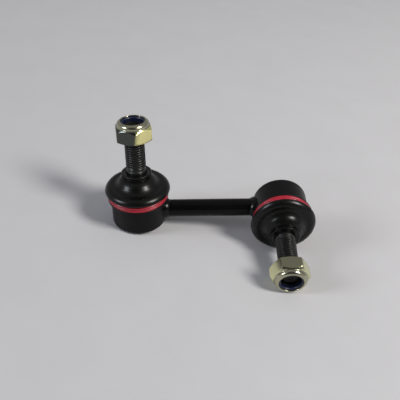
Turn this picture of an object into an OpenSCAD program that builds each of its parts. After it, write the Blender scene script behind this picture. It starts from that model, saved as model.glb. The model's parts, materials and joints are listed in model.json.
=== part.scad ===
// Stabilizer link: a round rod welded to two ball-joint housings that are turned
// a quarter turn from each other, each with a threaded ball stud, a rubber boot
// and a lock nut. Millimetres. It lies on a bench as it is put down: on the edge
// of the left housing, on the right boot and on the right nut.

/* [Link] */
// Distance between the two housing axes, along the rod
joint_span = 73.4; // [62:0.1:120]
// Turn of the right housing about the rod, from the left one
joint_turn = 90; // [60:5:120]
// Diameter of the round rod
rod_d = 9; // [7:0.25:10]
// Length of each weld bead along the rod
weld_length = 2.6; // [1.5:0.1:4]
// Height of each weld bead above the rod
weld_height = 1.1; // [0.6:0.1:2]

/* [Housing] */
// Outside diameter of the housing cup
housing_d = 27.6; // [25:0.1:31]
// Wall of the cup
housing_wall = 2.8; // [2.5:0.1:3.1]
// Floor of the cup
housing_floor = 2.05; // [1.2:0.05:2.6]
// Depth of the cup's underside below the rod axis
base_drop = 6; // [5.2:0.05:7]
// Rounding of the cup's lower edge
base_round = 1.5; // [1:0.1:3]
// Reach beyond the cup of the lip that the boot's clamp ring sits on
lip_out = 1.6; // [1:0.1:2.2]
// Thickness of the lip
lip_t = 0.9; // [0.6:0.1:1.6]
// Height of the thin collar above the lip
collar_h = 2.1; // [1.8:0.1:2.4]
// Wall of the thin collar, which is rolled over at its top
collar_wall = 1.6; // [1.3:0.1:1.8]
// Width of the rolled edge over the closing ring
crimp_w = 1.6; // [1:0.1:1.9]
// Thickness of the rolled edge
crimp_t = 1.2; // [0.8:0.1:1.5]

/* [Ball seat] */
// Diameter of the ball
ball_d = 15; // [14.4:0.1:15.4]
// Gap between the ball and the pieces that turn on it
ball_gap = 0.05; // [0.02:0.01:0.1]
// Thickness of the plastic seat under the ball
seat_floor = 1.2; // [0.8:0.1:2]
// Height of the seat's gripping edge above the ball's centre
seat_grip = 3.4; // [2.5:0.1:3.6]
// Height of the seat's shoulder above the ball's centre
seat_rise = 4.4; // [4:0.1:4.8]
// Diameter of the seat's flared mouth at its shoulder
seat_mouth_d = 17.2; // [16.6:0.1:18]
// Thickness of the steel closing ring on the seat
closing_ring_t = 1.2; // [0.8:0.1:1.5]
// Width of the closing ring
closing_ring_w = 2.07; // [1.8:0.01:2.3]
// Gap round pieces that are pushed into the housing, the boot or the nut
push_gap = 0.03; // [0.01:0.01:0.06]

/* [Stud] */
// Outside diameter of the thread
thread_d = 10; // [9.6:0.1:10.4]
// Pitch of the thread
thread_pitch = 1.25; // [1.25:0.05:1.5]
// Depth of the thread
thread_depth = 0.7; // [0.4:0.05:0.8]
// Flat on each thread crest
thread_crest = 0.2; // [0.1:0.05:0.3]
// Diameter of the waist above the ball
waist_d = 8.6; // [8:0.1:9]
// Distance from the ball's centre to the top of the waist
waist_top = 9.5; // [9:0.1:10]
// Diameter of the bearing flange
flange_d = 12.4; // [11.8:0.1:12.6]
// Length of the flange's straight side
flange_h = 4; // [3.6:0.1:4.2]
// Distance from the ball's centre to the flange's bearing face
flange_top = 16; // [15.8:0.1:16.4]
// Length of the plain pilot above the flange
pilot_h = 2.6; // [2:0.1:3.5]
// Length of the relief groove between the pilot and the thread
relief_h = 1.1; // [0.9:0.1:1.6]
// Depth of the relief groove
relief_depth = 0.6; // [0.3:0.1:0.8]
// Distance from the ball's centre to the stud's end
stud_reach = 41.9; // [38:0.1:60]
// Length of the plain point at the stud's end
stud_point = 0.9; // [0.6:0.1:1.5]

/* [Boot] */
// Thickness of the boot's bead, between the housing's collar and the clamp ring
bead_t = 1.24; // [1:0.02:1.5]
// Reach of the boot's rim beyond the clamp ring
rim_out = 1.15; // [1.1:0.05:1.6]
// Rounding of the rim
rim_round = 0.95; // [0.6:0.05:1.2]
// Radius of the dome about the ball's centre
dome_r = 16.2; // [16:0.1:16.6]
// Wall of the dome
boot_wall = 1.5; // [1.2:0.1:1.8]
// Diameter of the neck's grooves
neck_groove_d = 14.2; // [14:0.1:14.4]
// Diameter of the neck's ribs
neck_rib_d = 15; // [14.6:0.1:15.2]
// Diameter of the sealing lip
boot_lip_d = 15.4; // [15:0.1:15.6]
// Diameter inside the sealing lip
boot_lip_hole_d = 13.2; // [13:0.1:13.4]
// Distance from the ball's centre to the top of the sealing lip
boot_top = 17.6; // [17.4:0.1:18]
// Distance from the ball's centre to the lower end of the neck
boot_neck_low = 12; // [11.8:0.1:12.2]
// Gap between the boot's neck and the stud's flange
neck_gap = 0.05; // [0.03:0.01:0.08]
// Share of a stud's lean that the boot's brim follows
brim_share = 0.3; // [0:0.05:0.35]
// Height of the brim's underside above the clamp ring's top
rim_gap = 0.75; // [0.7:0.05:0.95]
// Depth by which the rim hangs below the brim's underside, round the clamp ring
rim_hang = 0.8; // [0.4:0.05:0.9]

/* [Boot rings] */
// Height of the clamp ring
clamp_ring_h = 2.9; // [2.6:0.1:3]
// Radial thickness of the clamp ring
clamp_ring_t = 1.4; // [1:0.1:1.6]
// Inside diameter of the steel ring moulded into the boot's neck
neck_ring_hole_d = 13.1; // [12.9:0.05:13.15]
// Radial thickness of the neck ring
neck_ring_t = 0.35; // [0.25:0.05:0.4]
// Height of the neck ring
neck_ring_h = 1.8; // [1.4:0.1:1.9]
// Rubber under the neck ring
neck_ring_bed = 0.4; // [0.3:0.1:0.5]

/* [Nut] */
// Width of the nut across its flats
nut_af = 17; // [16.4:0.1:18]
// Height of the nut's hexagon at its corners
hex_h = 6.6; // [5.6:0.1:7]
// Height of the whole nut
nut_h = 9.7; // [9.4:0.1:11]
// Height of the chamfer at the hexagon's upper corners
hex_chamfer = 0.9; // [0.5:0.1:1.2]
// Height of the chamfer at the hexagon's lower corners
bearing_chamfer = 0.35; // [0.2:0.05:0.6]
// Distance of the bearing face's edge inside the flats
bearing_inset = 0.3; // [0.1:0.1:0.6]
// Diameter of the rounded collar above the hexagon
nut_collar_d = 15.8; // [15.6:0.1:16.4]
// Rounding of the collar
nut_round = 1.8; // [1:0.1:1.9]
// Mouth of the collar
nut_mouth_d = 12; // [11.6:0.1:12.2]
// Thickness of the rolled rim that holds the insert
nut_rim_t = 0.6; // [0.4:0.1:0.8]
// Diameter of the insert's chamber
insert_d = 13.6; // [13:0.1:13.8]
// Gap between the stud's thread and the nut's bore
thread_gap = 0.06; // [0.03:0.01:0.09]
// Length of the stud inside the nut, from the nut's bearing face
nut_engage = 6.3; // [4:0.1:18]

/* [Pose] */
// Lean of the left stud about the rod axis
left_tilt = -8.4; // [-12:0.1:12]
// Lean of the left stud along the rod
left_lean = -0.9; // [-8:0.1:8]
// Lean of the right stud about the rod axis
right_tilt = 7.1; // [-12:0.1:12]
// Lean of the right stud along the rod
right_lean = 0; // [-8:0.1:8]
// Turn of the left nut about its stud
left_nut_turn = 39; // [0:1:60]
// Turn of the right nut about its stud
right_nut_turn = 0; // [0:1:60]
// Rise of the rod towards the right joint as the link lies on the bench
rest_rise = 7.7; // [0:0.01:15]
// Roll of the link about its rod as it lies on the bench
rest_roll = 4.5; // [-10:0.01:10]
// Place of the left housing along the bench, from the part's middle
rest_x = -35.62; // [-60:0.01:0]
// Place of the left housing across the bench, from the part's middle
rest_y = 17.33; // [-10:0.01:40]

/* [Hidden] */
$fn = 96;

housing_colour = "#1f1f20";
rod_colour = "#0f0f0f";
rubber_colour = "#282726";
ring_colour = "#8f2f3a";
zinc_colour = "#b8b284";
steel_colour = "#8d8f92";
seat_colour = "#d9d6c8";
insert_colour = "#18243a";
stud_colour = "#252423";

// Heights in a joint's own frame: the rod axis is at 0 and the housing axis is Z.
rod_r = rod_d / 2;
housing_r = housing_d / 2;
cavity_r = housing_r - housing_wall;
collar_r = cavity_r + collar_wall;
lip_r = housing_r + lip_out;
closing_hole_r = cavity_r - push_gap - closing_ring_w;
base_z = -base_drop;
floor_z = base_z + housing_floor;
ball_r = ball_d / 2;
socket_r = ball_r + ball_gap;
ball_z = floor_z + seat_floor + socket_r;
grip_r = sqrt(socket_r * socket_r - seat_grip * seat_grip);
seat_top_z = ball_z + seat_rise;
closing_top_z = seat_top_z + closing_ring_t;
housing_top_z = closing_top_z + crimp_t;
lip_top_z = housing_top_z - collar_h;
clamp_top_z = lip_top_z + clamp_ring_h;

// The boot's bead, about the housing axis, and its brim, which leans about the ball's centre.
// The brim's heights and angles are from that centre.
bead_hole_r = collar_r + push_gap;
bead_r = bead_hole_r + bead_t;
clamp_hole_r = bead_r + push_gap;
clamp_ring_r = clamp_hole_r + clamp_ring_t;
rim_r = clamp_ring_r + rim_out;
brim_low = clamp_top_z + rim_gap - ball_z;
rim_h = brim_low - rim_hang + rim_round;
bead_cut = brim_low + rim_round / 2;
dome_inner_r = dome_r - boot_wall;
brim_mouth_angle = 20;
brim_dome_angle = 50;
brim_inner_angle = 50;
rim_end_angle = 120;

// The boot's cap, about the stud axis. It laps the brim's dome by a hair on both faces.
cap_lap = 0.05;
cap_r = dome_r + cap_lap;
cap_inner_r = dome_inner_r - cap_lap;
cap_edge_angle = 36;
neck_hole_r = flange_d / 2 + neck_gap;
neck_sleeve_r = boot_lip_d / 2;
neck_middle_r = (neck_hole_r + neck_sleeve_r) / 2;
neck_rib_r = neck_rib_d / 2;
neck_groove_r = neck_groove_d / 2;
lip_bevel = 0.25;
rib_pitch = 0.85;
neck_ring_low = boot_neck_low + neck_ring_bed;
neck_ring_r = neck_ring_hole_d / 2 + neck_ring_t;

// Lengths along a stud from its ball's centre.
thread_r = thread_d / 2;
root_r = thread_r - thread_depth;
flank = thread_depth * tan(30);
pilot_top = flange_top + pilot_h;
thread_start = pilot_top + relief_h;
thread_turns = floor((stud_reach - stud_point - thread_start) / thread_pitch);
point_chamfer = 0.5;

// Lengths along a nut from its bearing face, which is at nut_seat on the stud.
nut_seat = stud_reach - nut_engage;
nut_bore_r = thread_r + thread_gap;
hex_corner_r = nut_af / sqrt(3);
nut_collar_r = nut_collar_d / 2;
nut_mouth_r = nut_mouth_d / 2;
insert_chamber_r = insert_d / 2;
insert_low = hex_h + push_gap;
insert_high = nut_h - nut_rim_t - push_gap;
bearing_r = nut_af / 2 - bearing_inset;

// How far cutting shapes run past the faces that they cut.
cut = 1;

function turn_x(p, a) = [p.x, p.y * cos(a) - p.z * sin(a), p.y * sin(a) + p.z * cos(a)];
function turn_y(p, a) = [p.x * cos(a) + p.z * sin(a), p.y, p.z * cos(a) - p.x * sin(a)];

// Points on an arc of radius r about c, from angle a to angle b.
function arc(c, r, a, b, steps = 12) = [
    for (i = [0:steps]) c + r * [cos(a + (b - a) * i / steps), sin(a + (b - a) * i / steps)]
];

// Points on a sphere's outline of radius r about the origin, at angles a to b from the Z axis.
function zone(r, a, b, steps = 10) = [
    for (i = [0:steps]) r * [sin(a + (b - a) * i / steps), cos(a + (b - a) * i / steps)]
];

// The bench's upward direction in the link's frame, whose origin is the left end of the rod axis.
bench_up = [sin(rest_rise), sin(rest_roll) * cos(rest_rise), cos(rest_roll) * cos(rest_rise)];
right_centre = [joint_span, 0, 0];

// How far a round edge with rounding e lies below the origin: c is the centre of the edge's arc.
function edge_depth(c, axis, r, e) = (r - e) * norm(cross(axis, bench_up)) + e - c * bench_up;

// A point of a frame that follows a share of the right stud's lean, in the link's frame.
function right_point(p, share) =
    right_centre
    + turn_x([0, 0, ball_z] + turn_x(turn_y(p, share * right_lean), share * right_tilt), joint_turn);

left_edge_depth = edge_depth([0, 0, base_z + base_round], [0, 0, 1], housing_r, base_round);
brim_middle = right_point([0, 0, rim_h], brim_share);
brim_axis = (brim_middle - right_point([0, 0, 0], brim_share)) / rim_h;
boot_depth = edge_depth(brim_middle, brim_axis, rim_r, rim_round);
nut_depth = max([
    for (a = [right_nut_turn:60:right_nut_turn + 300])
        -right_point([hex_corner_r * cos(a), hex_corner_r * sin(a), nut_seat + hex_h], 1) * bench_up
]);
rest_z = max(left_edge_depth, boot_depth, nut_depth);

// Places the link on the bench.
module on_bench() {
    translate([rest_x, rest_y, rest_z])
        rotate([rest_roll, -rest_rise, 0])
            children();
}

// The left joint's own frame is the link's frame.
module right_joint() {
    translate(right_centre)
        rotate([joint_turn, 0, 0])
            children();
}

// A stud's frame: its origin is the ball's centre and its Z axis is the stud.
module lean(tilt, along) {
    translate([0, 0, ball_z])
        rotate([tilt, 0, 0])
            rotate([0, along, 0])
                children();
}

module left_stud_frame() {
    lean(left_tilt, left_lean) children();
}

module right_stud_frame() {
    right_joint() lean(right_tilt, right_lean) children();
}

module tube(outer_r, inner_r, low, high) {
    difference() {
        translate([0, 0, low])
            cylinder(r = outer_r, h = high - low);
        translate([0, 0, low - cut])
            cylinder(r = inner_r, h = high - low + 2 * cut);
    }
}

// The cup's outside up to its lip, solid, which the rod and the beads are shaped to.
module cup_outside() {
    rotate_extrude()
        polygon(concat(
            [[0, base_z]],
            arc([housing_r - base_round, base_z + base_round], base_round, -90, 0),
            [[housing_r, lip_top_z], [0, lip_top_z]]
        ));
}

module cup() {
    difference() {
        union() {
            cup_outside();
            translate([0, 0, lip_top_z - lip_t])
                cylinder(r = lip_r, h = lip_t);
            translate([0, 0, floor_z])
                cylinder(r = collar_r, h = housing_top_z - floor_z);
        }
        translate([0, 0, floor_z])
            cylinder(r = cavity_r, h = closing_top_z - floor_z);
        translate([0, 0, floor_z])
            cylinder(r = cavity_r - crimp_w, h = housing_top_z - floor_z + cut);
    }
}

module seat() {
    difference() {
        rotate_extrude()
            polygon([
                [0, floor_z],
                [cavity_r - push_gap, floor_z],
                [cavity_r - push_gap, seat_top_z],
                [seat_mouth_d / 2, seat_top_z],
                [grip_r, ball_z + seat_grip],
                [0, ball_z + seat_grip]
            ]);
        translate([0, 0, ball_z])
            sphere(r = socket_r);
    }
}

module closing_ring() {
    tube(cavity_r - push_gap, closing_hole_r, seat_top_z, closing_top_z);
}

module joint_ball() {
    translate([0, 0, ball_z])
        sphere(r = ball_r);
}

module clamp_ring() {
    tube(clamp_ring_r, clamp_hole_r, lip_top_z, clamp_top_z);
}

// A bead round the rod where it meets the cup. side is 1 where the rod leaves towards +X.
module weld_bead(side) {
    difference() {
        rotate([0, 90 * side, 0])
            rotate_extrude()
                polygon([
                    [rod_r, cavity_r],
                    [rod_r + weld_height, cavity_r],
                    [rod_r + weld_height, housing_r + weld_length / 4],
                    [rod_r + weld_height / 2, housing_r + weld_length * 3 / 4],
                    [rod_r, housing_r + weld_length]
                ]);
        cup_outside();
    }
}

// The stud stands on the ball: its foot is hollowed to the ball's round.
module ball_stud() {
    difference() {
        rotate_extrude()
            polygon(concat(
                [
                    [0, ball_r / 2],
                    [waist_d / 2, ball_r / 2],
                    [waist_d / 2, waist_top],
                    [flange_d / 2, flange_top - flange_h],
                    [flange_d / 2, flange_top],
                    [thread_r, flange_top],
                    [thread_r, pilot_top],
                    [thread_r - relief_depth, pilot_top + relief_depth],
                    [thread_r - relief_depth, thread_start]
                ],
                [
                    for (i = [0:thread_turns - 1])
                        let (z = thread_start + i * thread_pitch)
                            each [
                                [root_r, z],
                                [thread_r, z + flank],
                                [thread_r, z + flank + thread_crest],
                                [root_r, z + 2 * flank + thread_crest]
                            ]
                ],
                [
                    [root_r, stud_reach - point_chamfer],
                    [root_r - point_chamfer, stud_reach],
                    [0, stud_reach]
                ]
            ));
        sphere(r = socket_r);
    }
}

// The rim and the lower dome, about the ball's centre.
module boot_brim() {
    rotate_extrude()
        polygon(concat(
            [[bead_hole_r, brim_low], [rim_r - rim_round, brim_low]],
            arc([rim_r - rim_round, rim_h], rim_round, -90, rim_end_angle),
            zone(dome_r, brim_dome_angle, brim_mouth_angle),
            zone(dome_inner_r, brim_mouth_angle, brim_inner_angle)
        ));
}

// The dome's top with the ribbed neck and the sealing lip, in the stud's frame.
module boot_cap() {
    rib_low = sqrt(cap_r * cap_r - neck_rib_r * neck_rib_r);
    rotate_extrude()
        polygon(concat(
            zone(cap_r, cap_edge_angle, asin(neck_rib_r / cap_r)),
            [
                [neck_groove_r, rib_low + rib_pitch / 2],
                [neck_rib_r, rib_low + rib_pitch],
                [neck_groove_r, rib_low + rib_pitch * 3 / 2],
                [boot_lip_d / 2, rib_low + rib_pitch * 2],
                [boot_lip_d / 2, boot_top - lip_bevel],
                [boot_lip_d / 2 - lip_bevel, boot_top],
                [boot_lip_hole_d / 2 + lip_bevel, boot_top],
                [boot_lip_hole_d / 2, boot_top - lip_bevel],
                [boot_lip_hole_d / 2, flange_top],
                [neck_hole_r, flange_top - lip_bevel],
                [neck_hole_r, boot_neck_low],
                [neck_sleeve_r, boot_neck_low]
            ],
            zone(cap_inner_r, asin(neck_sleeve_r / cap_inner_r), cap_edge_angle)
        ));
}

// The neck leans further than the brim, so the brim's mouth is opened to the middle of the neck's wall.
module boot(tilt, along) {
    difference() {
        union() {
            difference() {
                tube(bead_r, bead_hole_r, lip_top_z + push_gap, ball_z + dome_r);
                lean(brim_share * tilt, brim_share * along)
                    translate([0, 0, bead_cut])
                        cylinder(r = rim_r, h = dome_r);
            }
            difference() {
                lean(brim_share * tilt, brim_share * along) boot_brim();
                lean(tilt, along)
                    cylinder(r = neck_middle_r, h = dome_r + cut);
            }
            lean(tilt, along) boot_cap();
        }
        lean(tilt, along)
            tube(
                neck_ring_r + push_gap, neck_ring_hole_d / 2 - push_gap,
                neck_ring_low - push_gap, neck_ring_low + neck_ring_h + push_gap
            );
    }
}

module neck_ring() {
    tube(neck_ring_r, neck_ring_hole_d / 2, neck_ring_low, neck_ring_low + neck_ring_h);
}

module nut(turn) {
    difference() {
        union() {
            intersection() {
                rotate([0, 0, turn])
                    translate([0, 0, nut_seat])
                        cylinder(r = hex_corner_r, h = nut_h, $fn = 6);
                translate([0, 0, nut_seat])
                    rotate_extrude()
                        polygon([
                            [0, 0],
                            [bearing_r, 0],
                            [hex_corner_r, bearing_chamfer],
                            [hex_corner_r, hex_h],
                            [nut_collar_r, hex_h + hex_chamfer],
                            [0, hex_h + hex_chamfer]
                        ]);
            }
            translate([0, 0, nut_seat])
                rotate_extrude()
                    polygon(concat(
                        [[0, hex_h], [nut_collar_r, hex_h]],
                        arc([nut_collar_r - nut_round, nut_h - nut_round], nut_round, 0, 90),
                        [[0, nut_h]]
                    ));
        }
        translate([0, 0, nut_seat - cut])
            cylinder(r = nut_bore_r, h = hex_h + 2 * cut);
        translate([0, 0, nut_seat + hex_h])
            cylinder(r = insert_chamber_r, h = nut_h - nut_rim_t - hex_h);
        translate([0, 0, nut_seat + hex_h])
            cylinder(r = nut_mouth_r, h = nut_h - hex_h + cut);
    }
}

module insert() {
    tube(insert_chamber_r - push_gap, nut_bore_r, nut_seat + insert_low, nut_seat + insert_high);
}

module link_rod() {
    color(rod_colour) on_bench() difference() {
        rotate([0, 90, 0])
            cylinder(d = rod_d, h = joint_span);
        cup_outside();
        right_joint() cup_outside();
    }
}

module left_weld() { color(rod_colour) on_bench() weld_bead(1); }
module right_weld() { color(rod_colour) on_bench() right_joint() weld_bead(-1); }

module left_housing() { color(housing_colour) on_bench() cup(); }
module right_housing() { color(housing_colour) on_bench() right_joint() cup(); }

module left_ball_seat() { color(seat_colour) on_bench() seat(); }
module right_ball_seat() { color(seat_colour) on_bench() right_joint() seat(); }

module left_closing_ring() { color(steel_colour) on_bench() closing_ring(); }
module right_closing_ring() { color(steel_colour) on_bench() right_joint() closing_ring(); }

module left_ball() { color(steel_colour) on_bench() joint_ball(); }
module right_ball() { color(steel_colour) on_bench() right_joint() joint_ball(); }

module left_stud() { color(stud_colour) on_bench() left_stud_frame() ball_stud(); }
module right_stud() { color(stud_colour) on_bench() right_stud_frame() ball_stud(); }

module left_boot() { color(rubber_colour) on_bench() boot(left_tilt, left_lean); }
module right_boot() { color(rubber_colour) on_bench() right_joint() boot(right_tilt, right_lean); }

module left_clamp_ring() { color(ring_colour) on_bench() clamp_ring(); }
module right_clamp_ring() { color(ring_colour) on_bench() right_joint() clamp_ring(); }

module left_neck_ring() { color(steel_colour) on_bench() left_stud_frame() neck_ring(); }
module right_neck_ring() { color(steel_colour) on_bench() right_stud_frame() neck_ring(); }

module left_nut() { color(zinc_colour) on_bench() left_stud_frame() nut(left_nut_turn); }
module right_nut() { color(zinc_colour) on_bench() right_stud_frame() nut(right_nut_turn); }

module left_nut_insert() { color(insert_colour) on_bench() left_stud_frame() insert(); }
module right_nut_insert() { color(insert_colour) on_bench() right_stud_frame() insert(); }

link_rod();
left_weld();
right_weld();
left_housing();
right_housing();
left_ball_seat();
right_ball_seat();
left_closing_ring();
right_closing_ring();
left_ball();
right_ball();
left_stud();
right_stud();
left_boot();
right_boot();
left_clamp_ring();
right_clamp_ring();
left_neck_ring();
right_neck_ring();
left_nut();
right_nut();
left_nut_insert();
right_nut_insert();
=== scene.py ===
"""Looks of the stabilizer link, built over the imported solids.

Lengths are millimetres unless a comment says metres or a name ends in _M.
"""

import json
import math

import bmesh
import bpy
from mathutils import Matrix, Vector, noise


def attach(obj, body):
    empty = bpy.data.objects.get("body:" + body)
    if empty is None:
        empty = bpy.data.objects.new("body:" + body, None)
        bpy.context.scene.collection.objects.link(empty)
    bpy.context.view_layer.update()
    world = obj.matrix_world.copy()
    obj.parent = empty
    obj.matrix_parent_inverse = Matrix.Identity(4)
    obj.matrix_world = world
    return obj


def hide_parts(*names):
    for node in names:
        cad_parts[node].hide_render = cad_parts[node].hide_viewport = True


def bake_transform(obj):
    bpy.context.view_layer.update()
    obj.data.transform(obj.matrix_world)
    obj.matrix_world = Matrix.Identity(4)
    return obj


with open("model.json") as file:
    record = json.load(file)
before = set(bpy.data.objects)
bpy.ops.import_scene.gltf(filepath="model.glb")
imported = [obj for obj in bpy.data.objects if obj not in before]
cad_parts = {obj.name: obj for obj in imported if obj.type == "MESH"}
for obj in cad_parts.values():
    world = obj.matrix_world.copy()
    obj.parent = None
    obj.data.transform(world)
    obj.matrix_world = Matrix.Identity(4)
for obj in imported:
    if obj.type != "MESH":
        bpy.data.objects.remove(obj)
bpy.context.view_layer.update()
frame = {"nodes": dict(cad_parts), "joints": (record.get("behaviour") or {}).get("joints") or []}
scene = bpy.context.scene

# Sizes shared with the solids.
JOINT_SPAN = 73.4
ROD_R = 4.5
BALL_Z = 4.8
SOCKET_R = 7.55
HOUSING_R = 13.8
CAVITY_R = 11.0
BASE_Z = -6.0
FLOOR_Z = -3.95
LIP_R = 15.4
LIP_H = 0.9
LIP_TOP = 9.5
COLLAR_R = 12.6
HOUSING_TOP = 11.6
MOUTH_EDGE = 1.6
MOUTH_H = 1.2
CLAMP_IN_R = 13.9
CLAMP_OUT_R = 15.3
CLAMP_TOP = 12.4
BRIM_SHARE = 0.3
FLANGE_R = 6.2
FLANGE_TOP = 16.0
THREAD_R = 5.0
THREAD_PITCH = 1.25
THREAD_DEPTH = 0.7
THREAD_START = 19.7
STUD_REACH = 41.9
NUT_SEAT = 35.6
NUT_FLAT = 8.5
NUT_CORNER = 2 * NUT_FLAT / math.sqrt(3)
HEX_H = 6.6
NUT_H = 9.7
BORE_R = 5.06
REST_RISE = 7.7
REST_ROLL = 4.5
# Each stud's tilt and lean from its housing's axis, and the turn of its nut, in degrees.
POSES = {"left": (-8.4, -0.9, 39.0), "right": (7.1, 0.0, 0.0)}


def turn(axis, degrees):
    return Matrix.Rotation(math.radians(degrees), 4, axis)


def shift(x, y, z):
    return Matrix.Translation((x, y, z))


# Frames from millimetres to the row frame's metres.
BENCH = turn("Y", -REST_RISE) @ turn("X", REST_ROLL)
joint_places = {j["name"]: Vector(j["pos_m"]) for j in frame["joints"]}
left_ball = joint_places["left_tilt"]
LINK = Matrix.Translation(left_ball) @ BENCH @ Matrix.Scale(0.001, 4) @ shift(0, 0, -BALL_Z)
JOINT = {"left": LINK, "right": LINK @ shift(JOINT_SPAN, 0, 0) @ turn("X", 90)}
ROW = Matrix.Identity(4)


def lean(side, share):
    """The frame at the ball's centre that follows a share of the stud's lean."""
    tilt, along, _ = POSES[side]
    return JOINT[side] @ shift(0, 0, BALL_Z) @ turn("X", share * tilt) @ turn("Y", share * along)


# Mesh helpers.
def corner_arc(before, corner, after, radius, steps):
    """Points of the arc that rounds a corner of an outline."""
    p = Vector(corner)
    a = (Vector(before) - p).normalized()
    b = (Vector(after) - p).normalized()
    half = a.angle(b) / 2
    reach = radius / math.tan(half)
    centre = p + (a + b).normalized() * radius / math.sin(half)
    first = p + a * reach - centre
    last = p + b * reach - centre
    sweep = first.angle(last)
    points = []
    for i in range(steps + 1):
        t = i / steps
        mixed = (first * math.sin((1 - t) * sweep) + last * math.sin(t * sweep)) / math.sin(sweep)
        points.append(tuple(centre + mixed))
    return points


def rounded(outline, closed=False, steps=5):
    """An outline of (r, z, rounding) points as (r, z) points with its corners rounded."""
    count = len(outline)
    points = []
    for i, (r, z, radius) in enumerate(outline):
        end = not closed and i in (0, count - 1)
        if radius == 0 or end:
            points.append((r, z))
            continue
        before = outline[i - 1][:2]
        after = outline[(i + 1) % count][:2]
        points.extend(corner_arc(before, (r, z), after, radius, steps))
    return points


def circle(r, z, count):
    step = 2 * math.pi / count
    return [(r * math.cos(i * step), r * math.sin(i * step), z) for i in range(count)]


def skin(rows, closed=False, caps=(False, False)):
    """Joins rows of points, each a closed loop, into one surface."""
    count = len(rows[0])
    verts = [p for row in rows for p in row]
    faces = []
    pairs = len(rows) if closed else len(rows) - 1
    for i in range(pairs):
        low = i * count
        high = ((i + 1) % len(rows)) * count
        for j in range(count):
            k = (j + 1) % count
            faces.append((low + j, low + k, high + k, high + j))
    if caps[0]:
        faces.append(tuple(range(count)))
    if caps[1]:
        faces.append(tuple(range(len(verts) - count, len(verts))))
    return verts, faces


def lathe(profile, closed=False, caps=(False, False), count=96):
    return skin([circle(r, z, count) for r, z in profile], closed, caps)


def piece(name, shape, matrix, material, sharp=35.0):
    """A mesh object in the row frame, from a shape in the matrix's own frame.

    Edges that turn by more than sharp degrees stay hard.
    """
    verts, faces = shape
    mesh = bpy.data.meshes.new(name)
    mesh.from_pydata([matrix @ Vector(v) for v in verts], [], faces)
    work = bmesh.new()
    work.from_mesh(mesh)
    bmesh.ops.remove_doubles(work, verts=work.verts, dist=1e-7)
    bmesh.ops.recalc_face_normals(work, faces=work.faces)
    work.to_mesh(mesh)
    work.free()
    mesh.shade_smooth()
    mesh.set_sharp_from_angle(angle=math.radians(sharp))
    mesh.materials.append(material)
    obj = bpy.data.objects.new(name, mesh)
    scene.collection.objects.link(obj)
    weighted = obj.modifiers.new("weighted", "WEIGHTED_NORMAL")
    weighted.keep_sharp = True
    return obj


def second_material(obj, material, matrix, inside):
    """Gives another material to the faces whose middle, in the matrix's own frame, passes a test."""
    back = matrix.inverted()
    obj.data.materials.append(material)
    index = len(obj.data.materials) - 1
    for face in obj.data.polygons:
        if inside(back @ face.center):
            face.material_index = index


def dress(obj, body, slot, *nodes):
    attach(obj, body)
    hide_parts(*nodes)


def smooth(low, high, x):
    t = min(max((x - low) / (high - low), 0.0), 1.0)
    return t * t * (3 - 2 * t)


# Materials.
# Noise values between which colour and roughness change, and how much finer the latter's noise is.
COLOUR_SPAN = (0.32, 0.68)
ROUGH_SPAN = (0.3, 0.7)
ROUGH_GRAIN = 2.3
NOISE_ROUGHNESS = 0.6


def linear(colour):
    """A colour written as sRGB 0 to 255, as linear light."""
    out = []
    for c in colour:
        c /= 255
        out.append(c / 12.92 if c <= 0.04045 else ((c + 0.055) / 1.055) ** 2.4)
    return (*out, 1.0)


def surface(name, dark, light, grain, rough, bump, light_and_shade_drift=None, **sockets):
    """A material whose colour and roughness wander between two values, with a fine bump.

    grain is the scale of the colour's noise, rough the two values of the roughness and bump a
    (scale, depth in metres). light_and_shade_drift is a (place, direction, reach in metres) along
    which the colour goes from dark to light, which paints shade and light across a part. The other
    values go to the shader's sockets of those names.
    """
    mat = bpy.data.materials.new(name)
    mat.use_nodes = True
    nodes, links = mat.node_tree.nodes, mat.node_tree.links
    shader = nodes["Principled BSDF"]
    place = nodes.new("ShaderNodeTexCoord").outputs["Object"]

    def grains(scale, detail):
        node = nodes.new("ShaderNodeTexNoise")
        node.inputs["Scale"].default_value = scale
        node.inputs["Detail"].default_value = detail
        node.inputs["Roughness"].default_value = NOISE_ROUGHNESS
        links.new(place, node.inputs["Vector"])
        return node.outputs["Fac"]

    ramp = nodes.new("ShaderNodeValToRGB")
    for element, position, colour in zip(ramp.color_ramp.elements, COLOUR_SPAN, (dark, light)):
        element.position = position
        element.color = linear(colour)
    shade = grains(grain, 6)
    # Painted shade and light: along the direction, the colour is pushed from its dark towards its
    # light value.
    if light_and_shade_drift:
        middle, along, reach = light_and_shade_drift
        from_middle = nodes.new("ShaderNodeVectorMath")
        from_middle.operation = "SUBTRACT"
        from_middle.inputs[1].default_value = middle
        links.new(place, from_middle.inputs[0])
        across = nodes.new("ShaderNodeVectorMath")
        across.operation = "DOT_PRODUCT"
        across.inputs[1].default_value = along
        links.new(from_middle.outputs["Vector"], across.inputs[0])
        moved = nodes.new("ShaderNodeMath")
        moved.operation = "MULTIPLY_ADD"
        moved.inputs[1].default_value = 0.5 / reach
        links.new(across.outputs["Value"], moved.inputs[0])
        links.new(shade, moved.inputs[2])
        shade = moved.outputs["Value"]
    links.new(shade, ramp.inputs["Fac"])
    links.new(ramp.outputs["Color"], shader.inputs["Base Color"])
    spread = nodes.new("ShaderNodeMapRange")
    spread.inputs["From Min"].default_value = ROUGH_SPAN[0]
    spread.inputs["From Max"].default_value = ROUGH_SPAN[1]
    spread.inputs["To Min"].default_value = rough[0]
    spread.inputs["To Max"].default_value = rough[1]
    links.new(grains(grain * ROUGH_GRAIN, 5), spread.inputs["Value"])
    links.new(spread.outputs["Result"], shader.inputs["Roughness"])
    relief = nodes.new("ShaderNodeBump")
    relief.inputs["Strength"].default_value = 1.0
    relief.inputs["Distance"].default_value = bump[1]
    links.new(grains(bump[0], 4), relief.inputs["Height"])
    links.new(relief.outputs["Normal"], shader.inputs["Normal"])
    for socket, value in sockets.items():
        shader.inputs[socket.replace("_", " ")].default_value = value
    return mat


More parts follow.
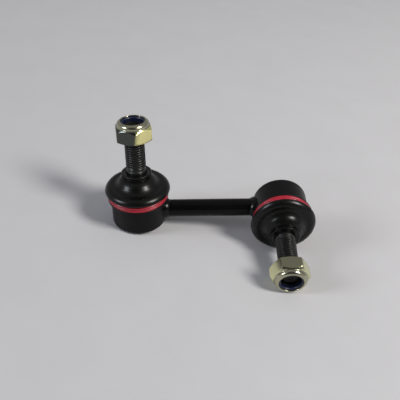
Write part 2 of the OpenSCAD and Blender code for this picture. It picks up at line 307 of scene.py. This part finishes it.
rod_black = surface(
    "rod_black", (6, 6, 6), (9, 9, 9), 260, (0.14, 0.24), (900, 2e-6), Specular_IOR_Level=0.14
)
weld_black = surface(
    "weld_black", (6, 6, 6), (9, 9, 9), 420, (0.14, 0.22), (900, 2e-6), Specular_IOR_Level=0.22
)
housing_black = surface(
    "housing_black", (7, 7, 7), (11, 11, 11), 240, (0.28, 0.40), (1500, 4e-6), Specular_IOR_Level=0.16
)
rubber = surface(
    "rubber", (6, 6, 5), (10, 10, 9), 300, (0.24, 0.32), (2600, 2e-6), Specular_IOR_Level=0.26
)
ring_red = surface(
    "ring_red", (150, 24, 40), (166, 32, 50), 300, (0.26, 0.34), (1200, 3e-7), Specular_IOR_Level=0.5
)
stud_black = surface(
    "stud_black", (13, 13, 12), (20, 19, 18), 300, (0.28, 0.36), (2000, 3e-7), Specular_IOR_Level=0.6
)
collar_zinc = surface(
    "collar_zinc", (158, 157, 138), (190, 187, 158), 160, (0.14, 0.24), (1800, 1e-6), Metallic=1.0
)
# Painted shade: each nut's bore is painted near black in place of the bare zinc, as the shade deep in
# the bore, and the stud's point inside it gets the same painted shade.
bore_painted_shade = surface(
    "bore_painted_shade", (16, 15, 14), (26, 24, 22), 700, (0.45, 0.60), (3000, 2e-6), Specular_IOR_Level=0.3
)
nylon = surface(
    "nylon", (12, 18, 40), (18, 26, 54), 420, (0.30, 0.42), (1400, 4e-6), Specular_IOR_Level=0.5
)
steel = surface(
    "steel", (128, 129, 131), (150, 150, 151), 500, (0.22, 0.34), (3000, 1e-6), Metallic=1.0
)
seat_plastic = surface(
    "seat_plastic", (205, 201, 186), (222, 219, 206), 300, (0.35, 0.5), (1500, 3e-6)
)

# Looks of the solids inside the joints, which have no piece of their own here.
INNER_LOOKS = {
    "ball": steel,
    "neck_ring": steel,
    "closing_ring": steel,
    "ball_seat": seat_plastic,
}

# Each nut's passivated zinc: its darker, greyer colour and its brighter, yellower colour, the
# direction in which it turns yellow, and the place where it does, in metres from the hexagon's
# middle.
# The yellow tint is the zinc's own, but the change across the nut is painted light and shade: the
# left nut's left faces are painted dark and its right faces bright, and the right nut's upper side
# is painted darker than its lower side.
ZINC_AND_SHADE = {
    "left": ((85, 88, 83), (244, 237, 169), (1.0, 0.0, 0.0), (0.0020, 0.0, 0.0)),
    "right": ((164, 163, 135), (226, 225, 178), (0.25, 0.0, -0.97), (0.0, 0.0, 0.0065)),
}
ZINC_SHADE_REACH_M = 0.0025


# Paints shade and light on the nut: its colour goes from the darker to the brighter one across the
# hexagon.
def zinc_and_shade_look(side, nut_frame):
    dark, light, along, offset = ZINC_AND_SHADE[side]
    middle = nut_frame @ Vector((0, 0, HEX_H / 2)) + Vector(offset)
    light_and_shade_drift = (middle, along, ZINC_SHADE_REACH_M)
    return surface(f"{side}_zinc", dark, light, 160, (0.13, 0.22), (1800, 1e-6), light_and_shade_drift, Metallic=1.0)


# Radius at which a flat cap closes the housing's floor, above and below.
CAP_R = 4.0


def housing_shape():
    return lathe(
        rounded(
            [
                (CAP_R, BASE_Z, 0),
                (HOUSING_R, BASE_Z, 1.5),
                (HOUSING_R, LIP_TOP - LIP_H, 0.35),
                (LIP_R, LIP_TOP - LIP_H, 0.3),
                (LIP_R, LIP_TOP, 0.25),
                (COLLAR_R, LIP_TOP, 0.2),
                (COLLAR_R, HOUSING_TOP, 0.5),
                (CAVITY_R - MOUTH_EDGE, HOUSING_TOP, 0.4),
                (CAVITY_R - MOUTH_EDGE, HOUSING_TOP - MOUTH_H, 0.2),
                (CAVITY_R, HOUSING_TOP - MOUTH_H, 0.2),
                (CAVITY_R, FLOOR_Z, 0.3),
                (CAP_R, FLOOR_Z, 0),
            ]
        ),
        caps=(True, True),
    )


RING_GROOVE_HALF = 0.20
RING_GROOVE_DEPTH = 0.62


def ring_shape():
    """The clamp ring, with a groove round its middle between two rounded ridges."""
    middle = (LIP_TOP + CLAMP_TOP) / 2
    return lathe(
        rounded(
            [
                (CLAMP_IN_R, LIP_TOP, 0.25),
                (CLAMP_OUT_R, LIP_TOP, 0.40),
                (CLAMP_OUT_R, middle - RING_GROOVE_HALF, 0.42),
                (CLAMP_OUT_R - RING_GROOVE_DEPTH, middle, 0.12),
                (CLAMP_OUT_R, middle + RING_GROOVE_HALF, 0.42),
                (CLAMP_OUT_R, CLAMP_TOP, 0.60),
                (CLAMP_IN_R, CLAMP_TOP, 0.25),
            ],
            closed=True,
        ),
        closed=True,
    )


# The rod's ends from the housings' axes, and the length of its first and last rows.
ROD_END = CAVITY_R + 1.6
ROD_END_ROW = 8


def rod_shape():
    """The bare rod, whose ends are inside the weld beads."""
    near = (ROD_END, ROD_END + ROD_END_ROW)
    far = (JOINT_SPAN - ROD_END - ROD_END_ROW, JOINT_SPAN - ROD_END)
    rows = []
    for x in (*near, JOINT_SPAN / 2, *far):
        rows.append([(x, y, z) for y, z, _ in circle(ROD_R, 0, 72)])
    return skin(rows, caps=(True, True))


WELD_HEIGHT = 1.15
WELD_LENGTH = 2.5
WELD_ROWS = 12
WELD_COUNT = 168
RIPPLE_DEPTH = 0.012
RIPPLE_COUNT = 30


def weld_shape(way):
    """A bead that follows the line where the rod meets the cup, with the ripples of its making.

    way is 1 or -1, the direction of the rod from the cup.
    """
    rows = []
    for i in range(WELD_ROWS + 1):
        t = i / WELD_ROWS
        row = []
        for j in range(WELD_COUNT):
            a = 2 * math.pi * j / WELD_COUNT
            wander = noise.noise(Vector((math.cos(a) * 1.3, math.sin(a) * 1.3, 3.1 * way)))
            wave = math.cos(a * RIPPLE_COUNT + 2.6 * t + wander * 3)
            ripple = RIPPLE_DEPTH * wave * math.sin(math.pi * t)
            high = WELD_HEIGHT * (1 + 0.12 * wander)
            long = WELD_LENGTH * (1 + 0.10 * wander)
            # From the cup's wall over a bulge to the rod.
            radial = ROD_R + high * (1 - t) ** 0.8 * (1 + 0.55 * t) + ripple - 0.12 * t ** 4
            y = radial * math.cos(a)
            z = radial * math.sin(a)
            wall = math.sqrt(HOUSING_R ** 2 - min(abs(y), HOUSING_R - 1) ** 2)
            out = long * (t ** 1.15) + ripple * 0.6 - 0.25 * (1 - t) ** 3
            row.append((way * (wall + out), y, z))
        rows.append(row)
    return skin(rows)


STUD_COUNT = 72
# Depths below the thread's outside at the relief groove and at the stud's point.
RELIEF_DEPTH = 0.62
RELIEF_EASE = 0.02
POINT_DEPTH = 0.78
# Directions from the ball's centre, in degrees from the axis, of the stud's hollow foot.
FOOT_ANGLES = (3, 12, 22, 34.6)
SHANK = [
    (4.28, 6.21, 0),
    (4.3, 9.5, 1.0),
    (FLANGE_R, 12.0, 0.6),
    (FLANGE_R, FLANGE_TOP, 0.25),
    (THREAD_R, FLANGE_TOP, 0.3),
    (THREAD_R, 18.6, 0.25),
    (THREAD_R - 0.6, 19.1, 0.25),
    (THREAD_R - RELIEF_DEPTH, THREAD_START, 0),
]
# Half a pitch of the rounded thread, from root to crest: (share of the pitch, share of the depth).
THREAD_RISE = [(0.0, 1.0), (0.10, 1.0), (0.20, 0.72), (0.30, 0.36), (0.37, 0.14), (0.44, 0.03)]
# Heights where the thread begins and ends, and over which it runs out at either end.
THREAD_FIRST = THREAD_START + 0.02
THREAD_LAST = STUD_REACH - 0.75
RUNOUT = (THREAD_START - 0.2, THREAD_START + 1.3)
POINT_RUN = 1.2
STUD_POINT = [
    (THREAD_R - POINT_DEPTH, THREAD_LAST, 0),
    (THREAD_R - 0.8, STUD_REACH - 0.5, 0.2),
    (3.7, STUD_REACH, 0.2),
    (1.6, STUD_REACH, 0),
]


def thread_depth(z, share):
    """The depth of the thread's surface, where share is the depth's share without run-outs."""
    if z < THREAD_FIRST:
        return RELIEF_DEPTH
    if z > THREAD_LAST:
        return POINT_DEPTH
    runout = smooth(*RUNOUT, z)
    point = smooth(THREAD_LAST, THREAD_LAST - POINT_RUN, z)
    relief = RELIEF_DEPTH - RELIEF_EASE * runout
    deep = relief + (THREAD_DEPTH * share - relief) * runout
    return deep + (POINT_DEPTH - deep) * (1 - point)


def stud_shape():
    """The stud from its foot on the ball to its point, with a right-handed helical thread."""
    foot = []
    for degrees in FOOT_ANGLES:
        a = math.radians(degrees)
        foot.append((SOCKET_R * math.sin(a), SOCKET_R * math.cos(a)))
    rows = [circle(r, z, STUD_COUNT) for r, z in foot + rounded(SHANK)]
    fall = [(1 - share, depth) for share, depth in reversed(THREAD_RISE[1:])]
    profile = THREAD_RISE + [(0.5, 0.0)] + fall
    turns = int((THREAD_LAST - THREAD_START) / THREAD_PITCH) + 2
    for i in range(-1, turns):
        for share, depth in profile:
            row = []
            for j in range(STUD_COUNT):
                a = 2 * math.pi * j / STUD_COUNT
                z = THREAD_START + THREAD_PITCH * (i + share + j / STUD_COUNT)
                r = THREAD_R - thread_depth(z, depth)
                held = min(max(z, THREAD_FIRST), THREAD_LAST)
                row.append((r * math.cos(a), r * math.sin(a), held))
            rows.append(row)
    rows.extend(circle(r, z, STUD_COUNT) for r, z in rounded(STUD_POINT))
    rows.append(circle(1.5, STUD_REACH - 0.25, STUD_COUNT))
    return skin(rows, caps=(True, True))


NUT_EDGE_R = 0.45
NUT_EDGE_STEPS = 4
NUT_FLAT_STEPS = 10
NUT_COLLAR_R = 7.9
# The lower chamfer rises by NUT_CHAMFER from this radius to the corners.
NUT_CHAMFER_R = 8.2
NUT_CHAMFER = 0.75
# The hexagon's upper edge falls from this (r, z) to the corners' height.
NUT_TOP = (8.05, 7.40)
CORNER_TOP = 5.85
# The shoulder between the hexagon's upper edge and the collar.
SHOULDER_R = 8.30
SHOULDER_TOP = 7.22
SHOULDER_SHARES = (0.3, 0.6, 0.85)
SHOULDER_BULGE = 0.16
SHOULDER_INSET = 0.10
SHOULDER_LIFT = 0.03
# The collar, the chamber of the insert and the bore.
NUT_COLLAR = [
    (SHOULDER_R, SHOULDER_TOP, 0),
    (NUT_COLLAR_R, 7.50, 0.3),
    (NUT_COLLAR_R, NUT_H, 1.8),
    (6.0, NUT_H, 0.22),
    (6.0, NUT_H - 0.6, 0.1),
    (6.8, NUT_H - 0.6, 0.1),
    (6.8, HEX_H, 0.1),
    (BORE_R, HEX_H, 0.2),
    (BORE_R, 0.6, 0),
]
INSERT = [(BORE_R, 6.63, 0.2), (6.77, 6.63, 0.2), (6.77, 9.07, 0.2), (BORE_R, 9.07, 0.6)]


def nut_outline():
    """The rounded hexagon, as (x, y) points with a corner on the X axis."""
    corners = [(x, y) for x, y, _ in circle(NUT_CORNER, 0, 6)]

    def rounding(i):
        before, corner, after = corners[(i - 1) % 6], corners[i % 6], corners[(i + 1) % 6]
        return corner_arc(before, corner, after, NUT_EDGE_R, NUT_EDGE_STEPS)

    points = []
    for i in range(6):
        arc = rounding(i)
        points.extend(arc)
        x, y = arc[-1]
        next_x, next_y = rounding(i + 1)[0]
        for k in range(1, NUT_FLAT_STEPS):
            t = k / NUT_FLAT_STEPS
            points.append((x * (1 - t) + next_x * t, y * (1 - t) + next_y * t))
    return points


def nut_shape():
    """A lock nut from its bearing face: a chamfered hexagon, a rounded collar and the chamber."""
    outline = nut_outline()
    angles = [math.atan2(y, x) for x, y in outline]
    hex_r = [math.hypot(x, y) for x, y in outline]
    rows = []

    def ring(r, z):
        rows.append([(r * math.cos(a), r * math.sin(a), z) for a in angles])

    def hexed(inset, height):
        row = []
        for a, r in zip(angles, hex_r):
            row.append(((r - inset) * math.cos(a), (r - inset) * math.sin(a), height(r)))
        rows.append(row)

    def low(r):
        return NUT_CHAMFER * max(r - NUT_CHAMFER_R, 0) / (NUT_CORNER - NUT_CHAMFER_R)

    def high(r):
        top_r, top_z = NUT_TOP
        return CORNER_TOP + (top_z - CORNER_TOP) * (NUT_CORNER - r) / (NUT_CORNER - top_r)

    ring(BORE_R, 0.6)
    ring(5.55, 0.0)
    ring(8.0, 0.0)
    ring(8.15, 0.0)
    hexed(0.06, low)
    hexed(0.0, lambda r: low(r) + 0.10)
    hexed(0.0, lambda r: low(r) + 0.8)
    hexed(0.0, lambda r: high(r) - 0.8)
    hexed(0.0, lambda r: high(r) - 0.14)
    hexed(0.03, lambda r: high(r) - 0.05)
    hexed(SHOULDER_INSET, lambda r: high(r) + SHOULDER_LIFT)
    # The shoulder bulges a little on its way from the hexagon to the collar's foot.
    for share in SHOULDER_SHARES:
        row = []
        for a, r in zip(angles, hex_r):
            edge_r = r - SHOULDER_INSET
            edge_z = high(r) + SHOULDER_LIFT
            bulge = SHOULDER_BULGE * (edge_r - SHOULDER_R) * math.sin(math.pi * share)
            mid_r = edge_r + (SHOULDER_R - edge_r) * share
            mid_z = edge_z + (SHOULDER_TOP - edge_z) * share + bulge
            row.append((mid_r * math.cos(a), mid_r * math.sin(a), mid_z))
        rows.append(row)
    for r, z in rounded(NUT_COLLAR, steps=7):
        ring(r, z)
    return skin(rows)


def insert_shape():
    return lathe(rounded(INSERT, closed=True), closed=True, count=72)


# The boot's outer profile: a round crown, a hollow sweep out to the brim and a rolled rim.
# An arc is (r, height from the ball's centre, radius). An angle is that of the outward
# direction from the stud's axis, in degrees.
CROWN = (5.22, 10.30, 5.0)
CROWN_TOP = 24
CROWN_FOOT = 60
SWEEP_R = 3.5
BRIM_FLAT = 0.55
ROLL_R = 3.4
ROLL_END = 75
RIM_EDGE_R = 0.6
# Heights between which the boot's two halves bend, and the share of the lean where they meet.
VALLEY_HEIGHT = 11.1
SEAM_HEIGHT = 12.4
NECK_HEIGHT = 14.7
SEAM_SHARE = 0.65
SEAM_IN = (SEAM_SHARE, 8.0, SEAM_HEIGHT)
# The boot from the rim's underside round its bead and up the inside: (share of the lean, r, height).
BOOT_BEAD = [
    (BRIM_SHARE, 14.3, 7.85),
    (0.15, 13.9, 7.7),
    (0.0, 13.87, 7.2),
    (0.0, 13.87, 4.75),
    (0.0, 12.63, 4.75),
    (0.0, 12.63, 7.2),
    (0.15, 12.3, 8.0),
    (BRIM_SHARE, 11.6, 9.2),
    (0.35, 10.0, 10.2),
    (0.50, 8.9, 11.4),
]
# The neck's ridges and grooves, its lip on the stud and its inside: (r, height, rounding).
RIDGE_R = 7.62
GROOVE_R = 6.95
LIP_IN_R = 5.3
NECK_IN_R = 6.25
BOOT_NECK = [
    (RIDGE_R, 14.98, 0.10),
    (RIDGE_R, 15.22, 0.10),
    (GROOVE_R, 15.36, 0.08),
    (GROOVE_R, 15.62, 0.08),
    (RIDGE_R, 15.76, 0.12),
    (RIDGE_R, 16.14, 0.12),
    (GROOVE_R, 16.28, 0.08),
    (GROOVE_R, 16.54, 0.08),
    (RIDGE_R, 16.68, 0.14),
    (RIDGE_R, 17.32, 0.22),
    (7.30, 17.60, 0.16),
    (6.6, 17.60, 0.16),
    (6.1, 17.45, 0.16),
    (LIP_IN_R, 17.40, 0.10),
    (LIP_IN_R, 16.9, 0.06),
    (NECK_IN_R, 16.5, 0.1),
    (NECK_IN_R, 12.0, 0.2),
    (7.4, 12.0, 0.2),
    (7.8, 12.3, 0),
]


def profile_arc(arc, start, end, steps):
    """Points of an arc, by the angle of its outward direction from the stud's axis."""
    r, h, radius = arc
    points = []
    for i in range(steps + 1):
        a = math.radians(start + (end - start) * i / steps)
        points.append((r + radius * math.sin(a), h + radius * math.cos(a)))
    return points


def bell_line():
    """The falling outline from the crown's top, over its foot and down the sweep to the brim."""
    crown = profile_arc(CROWN, CROWN_TOP, CROWN_FOOT, 16)
    foot_r, foot_h = crown[-1]
    a = math.radians(CROWN_FOOT)
    sweep = (foot_r + SWEEP_R * math.sin(a), foot_h + SWEEP_R * math.cos(a), SWEEP_R)
    return crown + profile_arc(sweep, 180 + CROWN_FOOT, 180, 20)[1:]


def rim_line():
    """The outline from the brim's top over the rolled rim to its underside."""
    top_r, top_h = bell_line()[-1]
    middle = (top_r + BRIM_FLAT, top_h - ROLL_R, ROLL_R)
    a = math.radians(ROLL_END)
    inward = ROLL_R - RIM_EDGE_R
    edge = (middle[0] + inward * math.sin(a), middle[1] + inward * math.cos(a), RIM_EDGE_R)
    return profile_arc(middle, 0, ROLL_END, 20) + profile_arc(edge, ROLL_END, 180, 8)[1:]


def seam_point(points):
    """Where a falling outline passes the seam's height."""
    for (r, h), (r2, h2) in zip(points, points[1:]):
        if h >= SEAM_HEIGHT > h2:
            t = (h - SEAM_HEIGHT) / (h - h2)
            return (r + (r2 - r) * t, SEAM_HEIGHT)


def boot_share(height):
    """The share of the lean that a ring of the boot follows, by its height."""
    low = BRIM_SHARE + (SEAM_SHARE - BRIM_SHARE) * smooth(VALLEY_HEIGHT, SEAM_HEIGHT, height)
    return low + (1 - SEAM_SHARE) * smooth(SEAM_HEIGHT, NECK_HEIGHT, height)


def boot_skin(side, outline):
    """A half of the boot in the row frame, from an outline of (share of the lean, r, height)."""
    rows = []
    for share, r, h in outline:
        matrix = lean(side, share)
        rows.append([matrix @ Vector(p) for p in circle(r, h, 120)])
    return skin(rows, closed=True)


def lower_boot(side):
    """The boot from the seam over the rim to its bead, and back inside."""
    line = bell_line()
    outline = [(SEAM_SHARE, *seam_point(line))]
    outline += [(boot_share(h), r, h) for r, h in line if h < SEAM_HEIGHT]
    outline += [(BRIM_SHARE, r, h) for r, h in rim_line()]
    outline += BOOT_BEAD
    outline.append(SEAM_IN)
    return boot_skin(side, outline)


def upper_boot(side):
    """The boot from the seam up to the grooved neck and the sealing lip, and back inside."""
    line = bell_line()
    crown = [seam_point(line)] + [p for p in reversed(line) if p[1] > SEAM_HEIGHT]
    neck = rounded([(*crown[-1], 0)] + BOOT_NECK, steps=4)
    outline = [(boot_share(h), r, h) for r, h in crown]
    outline += [(1.0, r, h) for r, h in neck[1:]]
    outline.append(SEAM_IN)
    return boot_skin(side, outline)


# Angles, in degrees, above which the edges of the beads and of the boots stay hard.
WELD_SHARP = 60
BOOT_SHARP = 45


def on_point(p):
    """Whether a place in the stud's frame is on its point."""
    return p.z > STUD_REACH - 0.8


def on_collar(p):
    """Whether a place in the nut's frame is on its collar."""
    return p.z > HEX_H + 0.5 and math.hypot(p.x, p.y) < 8.3


def in_bore(p):
    """Whether a place in the nut's frame is in its bore."""
    return p.z < HEX_H + 0.05 and math.hypot(p.x, p.y) < 5.4


# The pieces.
link_rod = piece("rod", rod_shape(), LINK, rod_black)
dress(link_rod, "link", "rod_coat", "link_rod")
for side, way in (("left", 1), ("right", -1)):
    joint = JOINT[side]
    stud_frame = lean(side, 1.0)
    insert_frame = stud_frame @ shift(0, 0, NUT_SEAT)
    nut_frame = insert_frame @ turn("Z", POSES[side][2])
    # The nut's zinc, painted darker on one side as shade and brighter on the other as light.
    zinc = zinc_and_shade_look(side, nut_frame)

    bead = piece(f"{side}_bead", weld_shape(way), joint, weld_black, WELD_SHARP)
    dress(bead, "link", "rod_coat", f"{side}_weld")
    cup = piece(f"{side}_cup", housing_shape(), joint, housing_black)
    dress(cup, "link", "housing_coat", f"{side}_housing")
    red_ring = piece(f"{side}_red_ring", ring_shape(), joint, ring_red)
    dress(red_ring, "link", "ring_red", f"{side}_clamp_ring")

    stud = piece(f"{side}_threaded_stud", stud_shape(), stud_frame, stud_black)
    # The stud's point, inside the nut, takes the bore's painted shade.
    second_material(stud, bore_painted_shade, stud_frame, on_point)
    dress(stud, f"{side}_stud", "stud_black", f"{side}_stud")
    nut = piece(f"{side}_lock_nut", nut_shape(), nut_frame, zinc)
    second_material(nut, collar_zinc, nut_frame, on_collar)
    # The bore is painted dark as shade instead of zinc.
    second_material(nut, bore_painted_shade, nut_frame, in_bore)
    dress(nut, f"{side}_nut", "nut_zinc", f"{side}_nut")
    nylon_ring = piece(f"{side}_nylon_ring", insert_shape(), insert_frame, nylon)
    dress(nylon_ring, f"{side}_insert", "insert_nylon", f"{side}_nut_insert")

    # Both halves of the boot take the same share of the stud's lean where they meet, so they join
    # exactly.
    lower = piece(f"{side}_boot_dome", lower_boot(side), ROW, rubber, BOOT_SHARP)
    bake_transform(lower)
    upper = piece(f"{side}_boot_neck", upper_boot(side), ROW, rubber, BOOT_SHARP)
    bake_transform(upper)
    for half in (lower, upper):
        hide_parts(f"{side}_boot")

    for node, material in INNER_LOOKS.items():
        mesh = frame["nodes"][f"{side}_{node}"].data
        mesh.materials.clear()
        mesh.materials.append(material)

# The floor.
FLOOR_RINGS_M = (0.05, 0.3, 1.0, 4.0)
floor_paper = surface(
    "floor_paper",
    (187, 186, 188),
    (190, 189, 191),
    30,
    (0.85, 0.95),
    (800, 1e-6),
    Specular_IOR_Level=0.2,
)
floor_shape = skin([circle(r, 0, 64) for r in FLOOR_RINGS_M], caps=(True, False))
floor = piece("floor", floor_shape, ROW, floor_paper)


def around(middle, azimuth, elevation, distance):
    """A place seen from a middle: azimuth is in degrees from the front, which is -Y, to the right."""
    a = math.radians(azimuth - 90)
    e = math.radians(elevation)
    way = Vector((math.cos(e) * math.cos(a), math.cos(e) * math.sin(a), math.sin(e)))
    return Vector(middle) + way * distance


def lamp(name, place, aim, size, power, colour):
    """A round lamp at a place in metres, with its size in metres and its power in watts."""
    data = bpy.data.lights.new(name, "AREA")
    data.shape = "DISK"
    data.size = size
    data.energy = power
    data.color = colour
    obj = bpy.data.objects.new(name, data)
    obj.location = place
    obj.rotation_euler = (Vector(aim) - Vector(place)).to_track_quat("-Z", "Y").to_euler()
    scene.collection.objects.link(obj)


# The right lamp points past the link, to the right and behind, so the floor darkens to the near left.
LEFT_NUT_M = (-0.036, 0.015, 0.052)
RIGHT_LAMP_M = around(LEFT_NUT_M, 57.0, 45, 1.3)
RIGHT_AIM_M = (0.65, 0.85, 0.0)
LEFT_LAMP_M = around(LEFT_NUT_M, -69.4, 26, 2.2)
LEFT_AIM_M = (0.0, 0.0, 0.015)
lamp("right_lamp", RIGHT_LAMP_M, RIGHT_AIM_M, 0.50, 19.4, (1.0, 0.98, 0.94))
lamp("left_lamp", LEFT_LAMP_M, LEFT_AIM_M, 0.76, 22.9, (0.86, 0.91, 1.0))

# The room: (height of the direction, colour) at the level of the horizon and above.
ROOM = ((0.1, (0.38, 0.38, 0.39, 1)), (0.45, (0.31, 0.31, 0.32, 1)))
# The front of the room, where the lamps leave a gap, is darker: from the first cosine to the second.
FRONT_WAY = around((0, 0, 0), -3, 28, 1.0)
FRONT_EDGE = (0.60, 0.88)
FRONT_STRENGTH = (1.0, 0.2)
world = bpy.data.worlds.new("world")
scene.world = world
world.use_nodes = True
room_nodes, room_links = world.node_tree.nodes, world.node_tree.links
background = room_nodes["Background"]
compass = room_nodes.new("ShaderNodeTexCoord").outputs["Generated"]
height = room_nodes.new("ShaderNodeSeparateXYZ")
room_links.new(compass, height.inputs["Vector"])
room = room_nodes.new("ShaderNodeValToRGB")
for element, (position, colour) in zip(room.color_ramp.elements, ROOM):
    element.position = position
    element.color = colour
room_links.new(height.outputs["Z"], room.inputs["Fac"])
room_links.new(room.outputs["Color"], background.inputs["Color"])
front = room_nodes.new("ShaderNodeVectorMath")
front.operation = "DOT_PRODUCT"
front.inputs[1].default_value = FRONT_WAY
room_links.new(compass, front.inputs[0])
gap = room_nodes.new("ShaderNodeMapRange")
gap.interpolation_type = "SMOOTHSTEP"
gap.inputs["From Min"].default_value = FRONT_EDGE[0]
gap.inputs["From Max"].default_value = FRONT_EDGE[1]
gap.inputs["To Min"].default_value = FRONT_STRENGTH[0]
gap.inputs["To Max"].default_value = FRONT_STRENGTH[1]
room_links.new(front.outputs["Value"], gap.inputs["Value"])
room_links.new(gap.outputs["Result"], background.inputs["Strength"])

# The camera, fitted to the photo: its place in metres and its directions.
PLACE_M = Vector((-0.037980, -0.266551, 0.211571))
RIGHT = Vector((0.99063595, -0.02293411, 0.13458989))
UP = Vector((-0.09755528, 0.57075704, 0.81530324))
AHEAD = Vector((0.09551638, 0.82079865, -0.5631751))
camera_data = bpy.data.cameras.new("camera")
camera_data.sensor_width = 36.0
camera_data.lens = 60.35
camera_data.clip_start = 0.01
camera = bpy.data.objects.new("camera", camera_data)
scene.collection.objects.link(camera)
camera.matrix_world = Matrix(
    [
        [RIGHT.x, UP.x, -AHEAD.x, PLACE_M.x],
        [RIGHT.y, UP.y, -AHEAD.y, PLACE_M.y],
        [RIGHT.z, UP.z, -AHEAD.z, PLACE_M.z],
        [0, 0, 0, 1],
    ]
)
scene.camera = camera
scene.view_settings.view_transform = "Standard"
